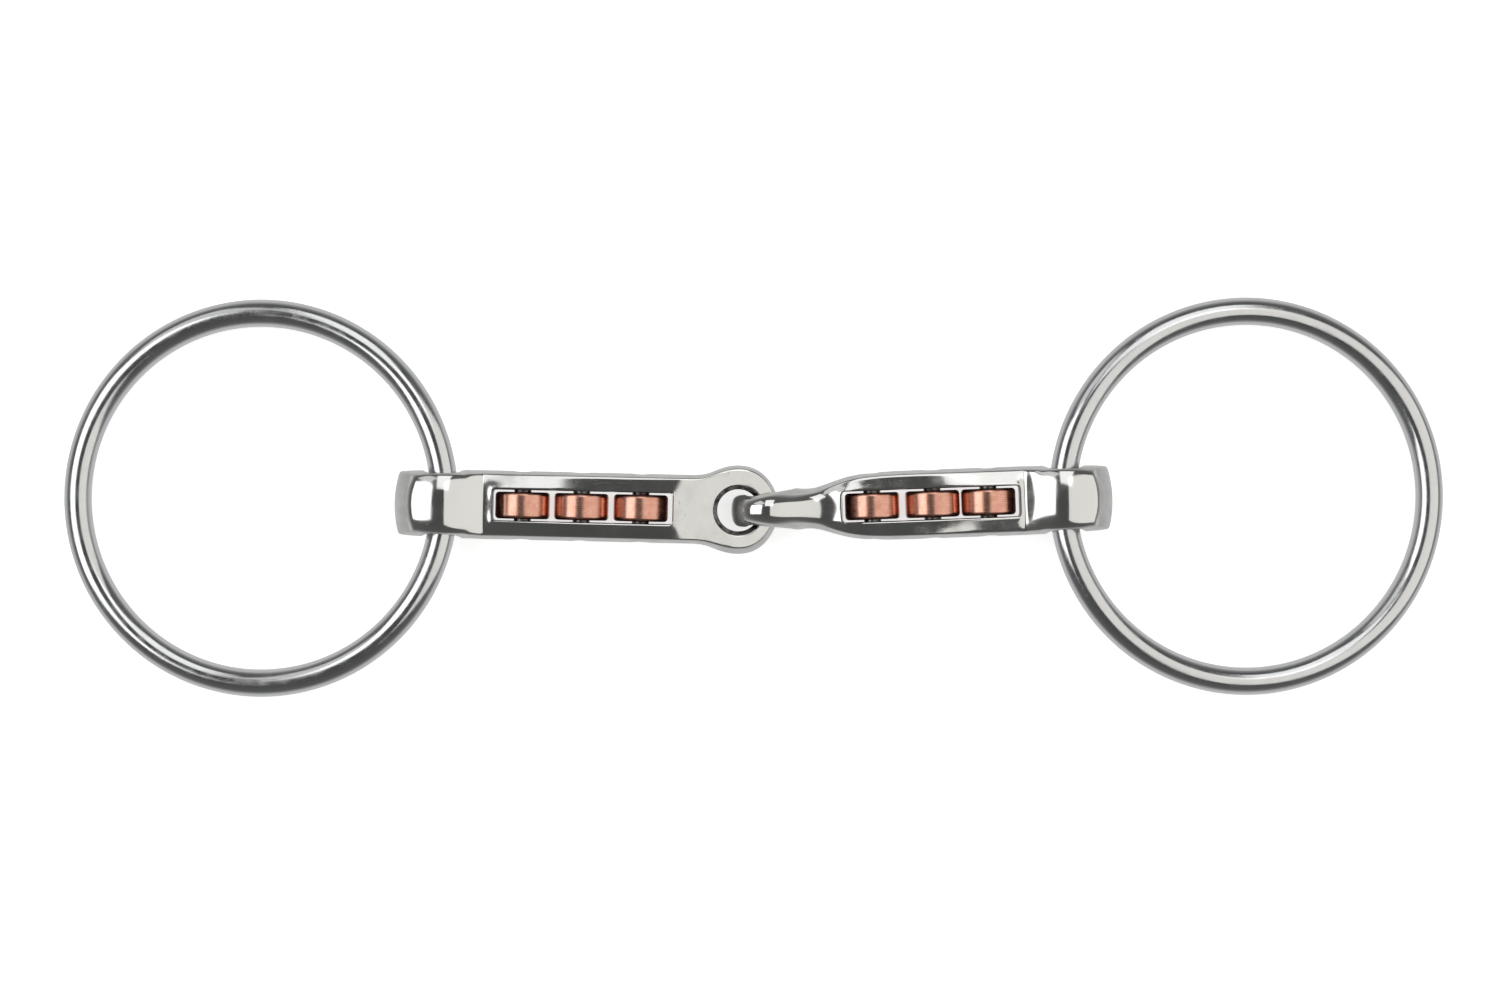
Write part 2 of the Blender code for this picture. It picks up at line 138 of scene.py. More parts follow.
def attribute(paint, name):
    return addNode(paint, "ShaderNodeAttribute", {"attribute_name": name}).outputs["Fac"]


polish = {
    "colour": (0.63, 0.63, 0.615),
    "dull": (0.5, 0.5, 0.49),
    "roughness": (0.07, 0.16),
    "wave": 0.012 * mm,
    "waveScale": 150,
    "scratch": 0.0012 * mm,
    "scratchScales": (2600, 1900),  # along the arm, then across it
    "cloudScale": 260,
    "wearDulls": 0.35,
    "wearRoughens": 0.12,
}


def polishedSteel():
    paint, shader = startPaint("polishedSteel", polish["colour"], 0.1)
    where = objectPlace(paint)
    cloud = noiseOn(paint, where, polish["cloudScale"], 4)
    alongScale, acrossScale = polish["scratchScales"]
    fine = noiseOn(paint, stretched(paint, where, (0.15, 1.6, 1.0)), alongScale, 4, 0.7)
    across = noiseOn(paint, stretched(paint, where, (1.5, 0.25, 1.0)), acrossScale, 3, 0.65)
    scratches = ranged(paint, fine, 0.62, 0.72, 0, 1)
    marks = ranged(paint, across, 0.66, 0.74, 0, 1)
    wear = sums(paint, "MAXIMUM", scratches, marks)
    dulled = sums(paint, "MULTIPLY", wear, polish["wearDulls"])
    link(paint, mixed(paint, dulled, polish["colour"], polish["dull"]), shader.inputs["Base Color"])
    smooth = ranged(paint, cloud, *cloudSpan, *polish["roughness"])
    roughened = sums(paint, "MULTIPLY", wear, polish["wearRoughens"])
    link(paint, sums(paint, "ADD", smooth, roughened), shader.inputs["Roughness"])
    wave = noiseOn(paint, where, polish["waveScale"], 1, 0.4)
    bumped(paint, shader, [(wave, polish["wave"]), (wear, -polish["scratch"])])
    return paint


satin = {
    "colour": (0.66, 0.66, 0.65),
    "dark": (0.5, 0.5, 0.495),
    "darkShare": 0.6,
    "roughness": (0.34, 0.5),
    "grain": 0.006 * mm,
    "grainScale": 5200,
    "cloudScale": 420,
}


def satinSteel():
    # the side walls are left as they came from the blasting drum
    paint, shader = startPaint("satinSteel", satin["colour"], 0.42)
    where = objectPlace(paint)
    grain = noiseOn(paint, where, satin["grainScale"], 5, 0.7)
    cloud = noiseOn(paint, where, satin["cloudScale"], 3)
    darkened = ranged(paint, cloud, *cloudSpan, 0, satin["darkShare"])
    link(paint, mixed(paint, darkened, satin["colour"], satin["dark"]), shader.inputs["Base Color"])
    link(paint, ranged(paint, grain, *grainSpan, *satin["roughness"]), shader.inputs["Roughness"])
    bumped(paint, shader, [(grain, satin["grain"])])
    return paint


# painted shade for the slots and bores: a dark grey steel with a near-black mottle, partly grime
crevice = {
    "colour": (0.34, 0.335, 0.33),
    "shadeAndGrime": (0.06, 0.052, 0.048),
    "roughness": (0.35, 0.55),
    "grain": 0.006 * mm,
    "grainScale": 2400,
    "shadeAndGrimeScale": 800,
}


def shadedCreviceSteel():
    # inside the slots and the bores: steel painted dark grey with a near-black mottle, painted shade of these
    # recesses, partly grime
    paint, shader = startPaint("shadedCreviceSteel", crevice["colour"], 0.45)
    where = objectPlace(paint)
    grain = noiseOn(paint, where, crevice["grainScale"], 4, 0.7)
    shadeAndGrime = ranged(paint, noiseOn(paint, where, crevice["shadeAndGrimeScale"], 4, 0.65), 0.4, 0.62, 0.1, 1)
    link(paint, mixed(paint, shadeAndGrime, crevice["colour"], crevice["shadeAndGrime"]), shader.inputs["Base Color"])
    link(paint, ranged(paint, grain, *grainSpan, *crevice["roughness"]), shader.inputs["Roughness"])
    bumped(paint, shader, [(grain, crevice["grain"])])
    return paint


wirePolish = {
    "colour": (0.60, 0.605, 0.61),
    "dull": (0.33, 0.33, 0.34),
    "roughness": (0.1, 0.24),
    "draw": 0.004 * mm,
    "nick": 0.004 * mm,
    "nickScale": 1500,
    "cloudScale": 320,
    "wearDulls": 0.6,
    "wearRoughens": 0.12,
}


def wireSteel():
    # fine lines run round the ring, as the wire was drawn and then buffed
    paint, shader = startPaint("wireSteel", wirePolish["colour"], 0.16)
    place = addNode(paint, "ShaderNodeCombineXYZ", X=attribute(paint, "roundRing"),
                    Y=attribute(paint, "aboutWire"))
    lines = noiseOn(paint, stretched(paint, place.outputs["Vector"], (0.6, 30, 1)), 4, 5, 0.6)
    where = objectPlace(paint)
    cloud = noiseOn(paint, where, wirePolish["cloudScale"], 4, 0.6)
    nicks = ranged(paint, noiseOn(paint, where, wirePolish["nickScale"], 4, 0.75), 0.68, 0.78, 0, 1)
    streaks = ranged(paint, lines, 0.58, 0.7, 0, 1)
    wear = sums(paint, "MAXIMUM", nicks, sums(paint, "MULTIPLY", streaks, 0.5))
    dulled = sums(paint, "MULTIPLY", wear, wirePolish["wearDulls"])
    link(paint, mixed(paint, dulled, wirePolish["colour"], wirePolish["dull"]), shader.inputs["Base Color"])
    smooth = ranged(paint, cloud, *cloudSpan, *wirePolish["roughness"])
    roughened = sums(paint, "MULTIPLY", wear, wirePolish["wearRoughens"])
    link(paint, sums(paint, "ADD", smooth, roughened), shader.inputs["Roughness"])
    bumped(paint, shader, [(lines, wirePolish["draw"]), (nicks, -wirePolish["nick"])])
    return paint


copper = {
    "colour": (0.62, 0.30, 0.22),
    "pale": (0.76, 0.45, 0.35),
    "tarnish": (0.08, 0.022, 0.014),
    "roughness": (0.2, 0.3),
    "paleShare": 0.7,
    "groove": 0.003 * mm,
    "grooveScale": 9000,
    "dent": 0.01 * mm,
    "dentScale": 700,
    "darkFrom": 2.5 * mm,  # out from the middle of the roller, along its pin
    "darkTo": 2.85 * mm,
    "darkRoughens": 0.2,
    "spotReach": 0.5 * mm,
    "spotScale": 2600,
}


def rollerCopper():
    paint, shader = startPaint("rollerCopper", copper["colour"], 0.26)
    along = attribute(paint, "alongPin")
    where = objectPlace(paint)
    turned = addNode(paint, "ShaderNodeCombineXYZ", X=along)
    grooves = noiseOn(paint, turned.outputs["Vector"], copper["grooveScale"], 3, 0.7)
    cloud = noiseOn(paint, where, copper["dentScale"], 4, 0.6)
    spots = sums(paint, "MULTIPLY", noiseOn(paint, where, copper["spotScale"], 3, 0.6), copper["spotReach"])
    paler = ranged(paint, cloud, *cloudSpan, 0, copper["paleShare"])
    body = mixed(paint, paler, copper["colour"], copper["pale"])
    reach = sums(paint, "ADD", sums(paint, "ABSOLUTE", along, 0), spots)
    dark = ranged(paint, reach, copper["darkFrom"], copper["darkTo"], 0, 1)
    link(paint, mixed(paint, dark, body, copper["tarnish"]), shader.inputs["Base Color"])
    smooth = ranged(paint, grooves, *grainSpan, *copper["roughness"])
    roughened = sums(paint, "MULTIPLY", dark, copper["darkRoughens"])
    link(paint, sums(paint, "ADD", smooth, roughened), shader.inputs["Roughness"])
    bumped(paint, shader, [(cloud, copper["dent"]), (grooves, copper["groove"])])
    return paint


# the pin's middle, between the roller and the slot walls, gets a near-black mottle: painted shade mixed with
# dirt
pinMetal = {
    "colour": (0.42, 0.40, 0.38),
    "dirtAndShade": (0.06, 0.035, 0.03),
    "dirtAndShadeShare": 0.8,
    "dirtAndShadeScale": 900,
    "dirtAndShadeEnds": (3.0 * mm, 5.0 * mm),  # the painted shade and dirt thin out over this stretch, from the pin's middle
    "roughness": (0.25, 0.45),
    "grain": 0.002 * mm,
    "grainScale": 3000,
}


def pinSteel():
    paint, shader = startPaint("pinSteel", pinMetal["colour"], 0.35)
    where = objectPlace(paint)
    grain = noiseOn(paint, where, pinMetal["grainScale"], 4, 0.65)
    # painted shade mixed with dirt, strongest on the pin's middle between the roller and the walls
    dirtAndShade = ranged(paint, noiseOn(paint, where, pinMetal["dirtAndShadeScale"], 3), 0.42, 0.6, 0, pinMetal["dirtAndShadeShare"])
    along = sums(paint, "ABSOLUTE", attribute(paint, "alongPin"), 0)
    inside = ranged(paint, along, *pinMetal["dirtAndShadeEnds"], 1, 0)
    link(paint, mixed(paint, sums(paint, "MULTIPLY", dirtAndShade, inside), pinMetal["colour"], pinMetal["dirtAndShade"]),
         shader.inputs["Base Color"])
    link(paint, ranged(paint, grain, *grainSpan, *pinMetal["roughness"]), shader.inputs["Roughness"])
    bumped(paint, shader, [(grain, pinMetal["grain"])])
    return paint


studio = {
    "cameraHeight": 1.0,
    "lens": 114.9,
    "lookAt": (-0.94 * mm, -0.59 * mm),
    "floorSize": 6.0,
    "wallRadius": 2.85,  # a round pale wall stands on the floor, seen only by the camera
    "floorColour": (0.86, 0.86, 0.855),
    "floorGlow": 0.62,  # the table is lit from below
    # how bright the room is by direction: share of the way up, from straight down, then grey
    "room": ((0.0, 0.8), (0.35, 0.72), (0.5, 0.33), (0.62, 0.15), (1.0, 0.09)),
    # azimuth and zenith in degrees, distance, width, height, brightness, colour, and if metal mirrors it
    "lights": {
        "leftSoftbox": (175, 43, 1.1, 0.85, 0.75, 2.0, (1.0, 1.0, 1.0), True),
        "rightCard": (0, 42, 1.1, 1.25, 1.5, 1.0, (1.0, 0.975, 0.935), True),
        "backCard": (84, 36, 1.1, 0.6, 0.75, 1.3, (1.0, 1.0, 1.0), True),
        "cornerCard": (130, 50, 1.1, 0.45, 0.6, 0.75, (1.0, 1.0, 1.0), True),
        "overhead": (0, 0, 1.5, 2.2, 2.2, 0.35, (1.0, 1.0, 1.0), False),
    },
}


def floorPaint(colour):
    paint, shader = startPaint("floorPaint", colour, 0.7, 0)
    shader.inputs["Specular IOR Level"].default_value = 0.2
    shader.inputs["Emission Color"].default_value = (1, 1, 1, 1)
    shader.inputs["Emission Strength"].default_value = studio["floorGlow"]
    return paint


def makeLight(name, azimuth, zenith, distance, width, height, brightness, colour, mirrored):
    light = bpy.data.lights.new(name, "AREA")
    light.shape = "RECTANGLE"
    light.size = width
    light.size_y = height
    light.energy = brightness * math.pi * width * height
    light.color = colour
    lamp = bpy.data.objects.new(name, light)
    scene.collection.objects.link(lamp)
    turn = Euler((math.radians(zenith), 0, math.radians(azimuth + 90)))
    lamp.rotation_euler = turn
    lamp.location = turn.to_matrix() @ Vector((0, 0, distance))
    lamp.visible_glossy = mirrored


def makeRoom():
    world = bpy.data.worlds.new("studioRoom")
    world.use_nodes = True
    scene.world = world
    where = addNode(world, "ShaderNodeTexCoord").outputs["Object"]
    height = addNode(world, "ShaderNodeSeparateXYZ", Vector=where).outputs["Z"]
    ramp = addNode(world, "ShaderNodeValToRGB", Fac=ranged(world, height, -1, 1, 0, 1))
    stops = ramp.color_ramp.elements
    while len(stops) < len(studio["room"]):
        stops.new(0.5)
    for stop, (place, grey) in zip(stops, studio["room"]):
        stop.position = place
        stop.color = (grey, grey, grey, 1)
    link(world, ramp.outputs["Color"], world.node_tree.nodes["Background"].inputs["Color"])


def makeStudio():
    bm = bmesh.new()
    bmesh.ops.create_grid(bm, x_segments=1, y_segments=1, size=studio["floorSize"] / 2)
    pale = floorPaint(studio["floorColour"])
    floor = addObject("studioFloor", bm, [pale])
    floor.visible_glossy = False
    bm = bmesh.new()
    bmesh.ops.create_cone(bm, cap_ends=False, segments=96, radius1=studio["wallRadius"],
                          radius2=studio["wallRadius"], depth=studio["floorSize"])
    wall = addObject("studioWall", bm, [pale])
    wall.data.shade_smooth()
    wall.visible_glossy = False
    wall.visible_diffuse = False
    wall.visible_shadow = False
    makeRoom()
    for name, values in studio["lights"].items():
        makeLight(name, *values)
    camera = bpy.data.objects.new("camera", bpy.data.cameras.new("camera"))
    scene.collection.objects.link(camera)
    camera.data.lens = studio["lens"]
    camera.location = (*studio["lookAt"], studio["cameraHeight"] + armPlace("right").translation.z)
    scene.camera = camera


def addObject(name, bm, paints):
    mesh = bpy.data.meshes.new(name)
    bm.to_mesh(mesh)
    bm.free()
    piece = bpy.data.objects.new(name, mesh)
    scene.collection.objects.link(piece)
    for paint in paints:
        mesh.materials.append(paint)
    return piece


def finishPiece(piece, node, body, sharpAt=50):
    piece.data.shade_smooth()
    piece.data.set_sharp_from_angle(angle=math.radians(sharpAt))
    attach(piece, body)
    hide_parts(node)


def jointPlace(name):
    return Vector(joints[name]["pos_m"])


def armPlace(side):
    # the arm's own frame: x from its eye outwards, y along its pins, z up
    inner, outer = (jointPlace(f"{side}_roller_{name}_spin") for name in ("inner", "outer"))
    outwards = (outer - inner).normalized()
    eye = jointPlace(f"{side}_roller_middle_spin") - outwards * arms[side]["pins"][1] * mm
    return turnedPlace(eye, outwards, Vector((0, 0, 1)))


def turnedPlace(origin, xAxis, zAxis):
    yAxis = zAxis.cross(xAxis).normalized()
    turn = Matrix((xAxis, yAxis, xAxis.cross(yAxis))).transposed()
    return Matrix.Translation(origin) @ turn.to_4x4()


block = {
    "halfWidth": 7.2,
    "edgeInset": 1.1,  # the edge of the polished face lies this far inside the widest plane
    "toEnd": 10.5,  # from the ring hole to the outer end
    "endInset": 3.5,
    "endBow": 0.9,
    "endNarrowing": 0.6,
    "endDepth": 6.3,
    # distance outwards from the ring hole, narrowing, half depth, lean
    "stations": ((-5.4, 0.05, 6.9, 0), (0, 0.15, 8.9, 0), (7.0, 0.35, 7.3, 1.4)),
    "middle": 2.6,  # half the width of the middle strip of its face
    "crown": 1.0,
    "hole": 3.6,
    "holeMouth": 4.2,
    "mouthLength": 1.2,
    "wallMargin": 0.3,
}

slot = {
    "half": 3.15,
    "spread": 1.06,  # it widens by this share towards the faces
    "shoulderRun": 5.5,
    "shoulderCrown": 0.35,
    "rail": 5.3,
    "railCrown": 0.2,
    "railFall": 7.5,  # the rails fall towards the valley over this length
    "outerCrown": 0.9,
    "outerRise": 0.25,  # how much deeper its outer end is than the valley
    "valley": 4.55,
    "valleyToHole": 8.4,
    "valleyCrown": 0.6,
}

eye = {
    "radius": 9.3,
    "stretch": 0.85,  # its length along the arm, as a share of its width
    "offset": -0.6,
    "bore": 4.4,
    "mouth": 5.3,
    "chamfer": 0.9,
    "softInset": 2.0,  # the belt rounded one edge of the face more than the other
    "depth": 3.4,
    "slope": math.tan(math.radians(6)),
    "neck": ((11.0, 4.4), (12.3, 2.0)),  # distance from the bore, and how far the edges lie back
    "neckMiddle": 3.4,
}

loop = {
    "radius": 8.3,
    "bore": 4.7,
    "mouth": 5.3,
    "cheek": 0.8,  # it swells sideways by this where it meets the neck
    "inset": 1.3,
    "middle": 1.5,
    "crown": 1.3,
    "tipWidth": 3.3,
    "tipBow": -0.8,
    "width": 4.5,
    "neckWidth": 4.1,
    "neckDepth": 5.6,
    "waist": 10.6,  # its thinnest place, from the bore
    "waistWidth": 4.6,
    "waistDepth": 4.0,
    "waistMiddle": 1.8,
    "waistCrown": 0.7,
}

arms = {
    "left": {"hole": 61.8, "slot": (13.7, 51.4), "pins": (20.4, 32.8, 45.1), "neckWidth": block["halfWidth"],
             "neckDepth": eye["depth"] + eye["slope"] * 13.7, "neckCrown": 0, "shoulder": 4.95},
    "right": {"hole": 61.4, "slot": (14.9, 52.1), "pins": (21.2, 33.8, 45.5), "neckWidth": 6.15,
              "neckDepth": 5.1, "neckCrown": 0.5, "shoulder": 5.2},
}

creases = {
    "face": 0.5,
    "block": 0.38,
    "strand": 0.0,
    "slot": 0.6,
    "corner": 0.5,
    "mouth": 0.55,
    "end": 0.4,
    "valley": 0.4,
    "bore": 0.6,
}
fineness = 4
eightShare = (4 + 2 * math.cos(math.radians(45))) / 6  # a subdivided ring of eight corners shrinks to this
plainCrown = 0.5  # the face falls by this from its middle strip to the edge
slotColumns, holeColumn = 4, 7  # where the slot ends and the ring's hole is, from the slot's first station
blockColumns = len(block["stations"]) + 1
loopColumn = 1
rim, bore = -1, -2  # column marks of the flat eye's two rings
faceSlot, wallSlot, creviceSlot = 0, 1, 2  # material slots: polished faces, satin walls, and the slots and bores in darker steel painted as shade


def station(x, width, depth, inside=slot["half"], **more):
    return {"x": x, "width": width + block["edgeInset"] / 3, "depth": depth, "inside": inside, **more}


def slotAndBlock(arm):
    hole = arm["hole"]
    start, end = arm["slot"]
    width, rail, valley = block["halfWidth"], slot["rail"], slot["valley"]
    rails = {"insideShare": slot["spread"]}
    stations = [
        station(start, arm["neckWidth"], arm["neckDepth"], crown=arm["neckCrown"], **rails),
        station(start + slot["shoulderRun"], width, arm["shoulder"], crown=slot["shoulderCrown"], **rails),
        station((start + end) / 2, width, rail, crown=slot["railCrown"], **rails),
        station(end - slot["railFall"], width, rail, crown=slot["outerCrown"], **rails),
        station(end, width, valley + slot["outerRise"], crown=slot["outerCrown"], **rails),
        station(hole - slot["valleyToHole"], width, valley, crown=slot["valleyCrown"]),
    ]
    face = {"inside": block["middle"], "crown": block["crown"]}
    for outwards, narrowing, depth, lean in block["stations"]:
        stations.append(station(hole + outwards, width - narrowing, depth, lean=lean, **face))
    stations.append(station(hole + block["toEnd"] + block["endInset"] / 3, width - block["endNarrowing"],
                            block["endDepth"], lean=block["endInset"] * 4 / 3, bow=block["endBow"], **face))
    return stations


def startCage(stations, strandTo=-1):
    # a flat grid at the widest plane, with four vertices to a station: edge, slot side, slot side, edge
    bm = bmesh.new()
    column = bm.verts.layers.int.new("column")
    row = bm.verts.layers.int.new("row")
    crease = bm.edges.layers.float.new("crease_edge")
    last = len(stations) - 1
    bmesh.ops.create_grid(bm, x_segments=last, y_segments=3, size=1)
    for vert in bm.verts:
        vert[column] = round((vert.co.x + 1) / 2 * last)
        vert[row] = round((vert.co.y + 1) / 2 * 3)
        spot = stations[vert[column]]
        atEdge = vert[row] in (0, 3)
        half = spot["width"] if atEdge else spot["inside"]
        x = spot["x"] - (spot.get("bow", 0) if atEdge else 0)
        vert.co = Vector((x, math.copysign(half, vert.co.y), 0))
    return {"bm": bm, "stations": stations, "column": column, "row": row, "crease": crease,
            "strandTo": strandTo}


def cutSlot(cage, first, last):
    def inside(vert):
        return vert[cage["row"]] in (1, 2) and first <= vert[cage["column"]] <= last

    faces = [face for face in cage["bm"].faces if all(inside(vert) for vert in face.verts)]
    bmesh.ops.delete(cage["bm"], geom=faces, context="FACES")


def addFlatEye(cage):
    # a ring of eight faces joined to the four vertices of column 0
    bm = cage["bm"]
    radius = (eye["radius"] + block["edgeInset"] / 3) / eightShare
    middle = Vector((eye["offset"], 0, 0))
    for vert in bm.verts:
        if vert[cage["column"]] == 0:
            angle = math.radians(67.5 if vert[cage["row"]] in (0, 3) else 22.5)
            side = math.copysign(1, vert.co.y)
            vert.co = middle + Vector((eye["stretch"] * math.cos(angle), side * math.sin(angle), 0)) * radius
            vert[cage["column"]] = rim
    stretch = Matrix.Diagonal((eye["stretch"], 1, 1, 1))
    lie = Matrix.Translation(middle) @ stretch @ Matrix.Rotation(math.radians(22.5), 4, "Z")
    outer = bmesh.ops.create_circle(bm, segments=8, radius=radius, matrix=lie)["verts"]
    edges = list({edge for vert in outer for edge in vert.link_edges})
    made = bmesh.ops.extrude_edge_only(bm, edges=edges)["geom"]
    inner = [item for item in made if isinstance(item, bmesh.types.BMVert)]
    for vert in outer:
        vert[cage["column"]] = rim
    for vert in inner:
        vert[cage["column"]] = bore
        outwards = stretch.inverted() @ (vert.co - middle)
        vert.co = outwards.normalized() * eye["bore"] / eightShare
    bmesh.ops.remove_doubles(bm, verts=bm.verts, dist=0.01)


def raisedPlace(cage, vert):
    mark, flat = vert[cage["column"]], vert.co
    if mark == rim:
        inset = eye["softInset"] if flat.y > 0 else block["edgeInset"]
        spot = flat + (Vector((eye["offset"], 0, 0)) - flat).normalized() * inset
    elif mark == bore:
        spot = flat * eye["mouth"] / eye["bore"]
    if mark in (rim, bore):
        return Vector((spot.x, spot.y, eye["depth"] + eye["slope"] * spot.x))
    spot = cage["stations"][mark]
    x = flat.x - spot.get("lean", 0)
    if vert[cage["row"]] in (1, 2):
        return Vector((x, flat.y * spot.get("insideShare", 1), spot["depth"]))
    inset = math.copysign(spot.get("inset", block["edgeInset"]), flat.y)
    return Vector((x, flat.y - inset, spot["depth"] - spot.get("crown", plainCrown)))


def raiseAndMirror(cage):
    bm = cage["bm"]
    flat = list(bm.faces)
    made = bmesh.ops.extrude_face_region(bm, geom=flat)["geom"]
    top = [item for item in made if isinstance(item, bmesh.types.BMFace)]
    bmesh.ops.delete(bm, geom=[face for face in flat if face.is_valid], context="FACES_ONLY")
    places = {vert: raisedPlace(cage, vert) for face in top for vert in face.verts}
    for vert, place in places.items():
        vert.co = place
    for face in bm.faces:
        face.material_index = faceSlot if face in top else wallSlot
    for edge in {edge for face in top for edge in face.edges}:
        walls = [face for face in edge.link_faces if face not in top]
        if walls:
            inSlot = isSlotEdge(cage, edge)
            edge[cage["crease"]] = creases["slot" if inSlot else faceCrease(cage, edge)]
            # the slot walls and the bores get the darker steel, painted shade of the recesses
            if inSlot or all(vert[cage["column"]] == bore for vert in edge.verts):
                walls[0].material_index = creviceSlot
    bmesh.ops.delete(bm, geom=[edge for edge in bm.edges if not edge.link_faces], context="EDGES")
    bmesh.ops.mirror(bm, geom=bm.verts[:] + bm.edges[:] + bm.faces[:], axis="Z", merge_dist=0.01)


def faceCrease(cage, edge):
    columns = {vert[cage["column"]] for vert in edge.verts}
    if min(columns) >= len(cage["stations"]) - blockColumns:
        return "block"
    return "strand" if min(columns) >= 0 and max(columns) <= cage["strandTo"] else "face"


def isSlotEdge(cage, edge):
    rows = {vert[cage["row"]] for vert in edge.verts}
    columns = {vert[cage["column"]] for vert in edge.verts}
    return rows <= {1, 2} and min(columns) > 0 and max(columns) < len(cage["stations"]) - 1


def creaseEnd(cage):
    # the outer end's upright corners, and the valley where the block rises from the rails
    last = len(cage["stations"]) - 1
    valley = last - blockColumns
    for edge in cage["bm"].edges:
        columns = {vert[cage["column"]] for vert in edge.verts}
        rows = {vert[cage["row"]] for vert in edge.verts}
        upright = abs(edge.verts[0].co.z - edge.verts[1].co.z) > 1
        if upright and columns == {last} and rows in ({0}, {3}):
            edge[cage["crease"]] = creases["end"]
        elif columns == {valley} and len(rows) == 2 and not upright:
            edge[cage["crease"]] = creases["valley"]


def chamferEye(cage):
    # one more loop of vertices inside the bore, at the foot of its chamfer
    bm = cage["bm"]
    upright = [edge for edge in bm.edges
               if all(vert[cage["column"]] == bore for vert in edge.verts)
               and abs(edge.verts[0].co.z - edge.verts[1].co.z) > 1]
    made = bmesh.ops.subdivide_edges(bm, edges=upright, cuts=1, use_grid_fill=True)["geom_inner"]
    foot = [item for item in made if isinstance(item, bmesh.types.BMVert)]
    for vert in foot:
        outwards = Vector((vert.co.x, vert.co.y, 0)).normalized() / eightShare
        top = eye["depth"] + eye["slope"] * eye["mouth"] * outwards.x
        height = math.copysign(top - eye["chamfer"], vert.co.z)
        vert.co = outwards * eye["bore"] + Vector((0, 0, height))
    for edge in bm.edges:
        if all(vert in foot for vert in edge.verts):
            edge[cage["crease"]] = creases["bore"]


def creaseSlotCorners(cage, first, last):
    for edge in cage["bm"].edges:
        columns = {vert[cage["column"]] for vert in edge.verts}
        rows = {vert[cage["row"]] for vert in edge.verts}
        upright = abs(edge.verts[0].co.z - edge.verts[1].co.z) > 1
        if upright and columns in ({first}, {last}) and rows in ({1}, {2}):
            edge[cage["crease"]] = creases["corner"]


def cutCrossHole(cage, middle, radius, mouth, cheek=0):
    # a round hole through both side walls at one station
    bm = cage["bm"]
    x = cage["stations"][middle]["x"]
    near = range(middle - 1, middle + 2)
    ends = []
    for row, side in ((0, -1), (3, 1)):
        wall = [face for face in bm.faces
                if all(vert[cage["row"]] == row and vert[cage["column"]] in near for vert in face.verts)]
        bmesh.ops.inset_region(bm, faces=wall, thickness=block["wallMargin"])
        placeRound(wall, x, mouth / eightShare, 0, side * cheek)
        for edge in {edge for face in wall for edge in face.edges}:
            if any(other not in wall for other in edge.link_faces):
                edge[cage["crease"]] = creases["mouth"]
        made = bmesh.ops.extrude_face_region(bm, geom=wall)["geom"]
        plug = [item for item in made if isinstance(item, bmesh.types.BMFace)]
        placeRound(plug, x, radius / eightShare, -side * block["mouthLength"], 0)
        edges = {edge for face in plug for edge in face.edges}
        bmesh.ops.delete(bm, geom=plug + [face for face in wall if face.is_valid], context="FACES")
        ends += [edge for edge in edges if edge.is_valid]
    # the hole's tunnel gets the darker steel, painted shade of the recess
    for face in bmesh.ops.bridge_loops(bm, edges=ends)["faces"]:
        face.material_index = creviceSlot


def placeRound(faces, x, radius, shift, cheek):
    # the eight outer vertices of a block of four faces go onto a circle, seen along y
    verts = {vert for face in faces for vert in face.verts}
    centre = max(verts, key=lambda vert: sum(vert in face.verts for face in faces))
    level = 0.15 * radius
    for vert in verts - {centre}:
        across, up = (sign(vert.co[axis] - centre.co[axis], level) for axis in (0, 2))
        angle = math.atan2(up, across)
        y = vert.co.y + shift + (cheek if across > 0 and up else 0)
        vert.co = Vector((x + radius * math.cos(angle), y, radius * math.sin(angle)))


def sign(value, tolerance):
    return 0 if abs(value) < tolerance else math.copysign(1, value)


def leftCage():
    # the neck's edge stations lie closer to the eye than their middles, along its round outline
    neck = [station(x, block["halfWidth"], eye["depth"] + eye["slope"] * x, inside=eye["neckMiddle"], bow=bow,
                    crown=bow * eye["slope"]) for x, bow in eye["neck"]]
    cage = startCage([station(0, 0, 0)] + neck + slotAndBlock(arms["left"]))
    slotStart = 1 + len(neck)
    addFlatEye(cage)
    cutSlot(cage, slotStart, slotStart + slotColumns)
    raiseAndMirror(cage)
    chamferEye(cage)
    creaseSlotCorners(cage, slotStart, slotStart + slotColumns)
    creaseEnd(cage)
    cutCrossHole(cage, slotStart + holeColumn, block["hole"], block["holeMouth"])
    return cage["bm"]


def rightCage():
    reach = loop["radius"] / eightShare
    slant = reach * math.cos(math.radians(45))
    strand = {"inside": loop["middle"], "crown": loop["crown"]}
    inset, neckDepth = loop["inset"], loop["neckDepth"]
    neck = [
        station(-reach, loop["tipWidth"], slant, lean=slant - reach, bow=loop["tipBow"], **strand),
        station(0, loop["width"], reach, inset=inset, **strand),
        station(reach, loop["neckWidth"], neckDepth, lean=reach - neckDepth, inset=inset, **strand),
        station(loop["waist"], loop["waistWidth"], loop["waistDepth"], inset=inset,
                inside=loop["waistMiddle"], crown=loop["waistCrown"]),
    ]
    slotStart = len(neck)
    cage = startCage(neck + slotAndBlock(arms["right"]), slotStart - 1)
    cutSlot(cage, slotStart, slotStart + slotColumns)
    raiseAndMirror(cage)
    creaseSlotCorners(cage, slotStart, slotStart + slotColumns)
    creaseEnd(cage)
    cutCrossHole(cage, slotStart + holeColumn, block["hole"], block["holeMouth"])
    cutCrossHole(cage, loopColumn, loop["bore"], loop["mouth"], loop["cheek"])
    return cage["bm"]


hand = {"wavelength": 7.0, "height": 0.022, "fineShare": 0.4, "fineScale": 2.3}


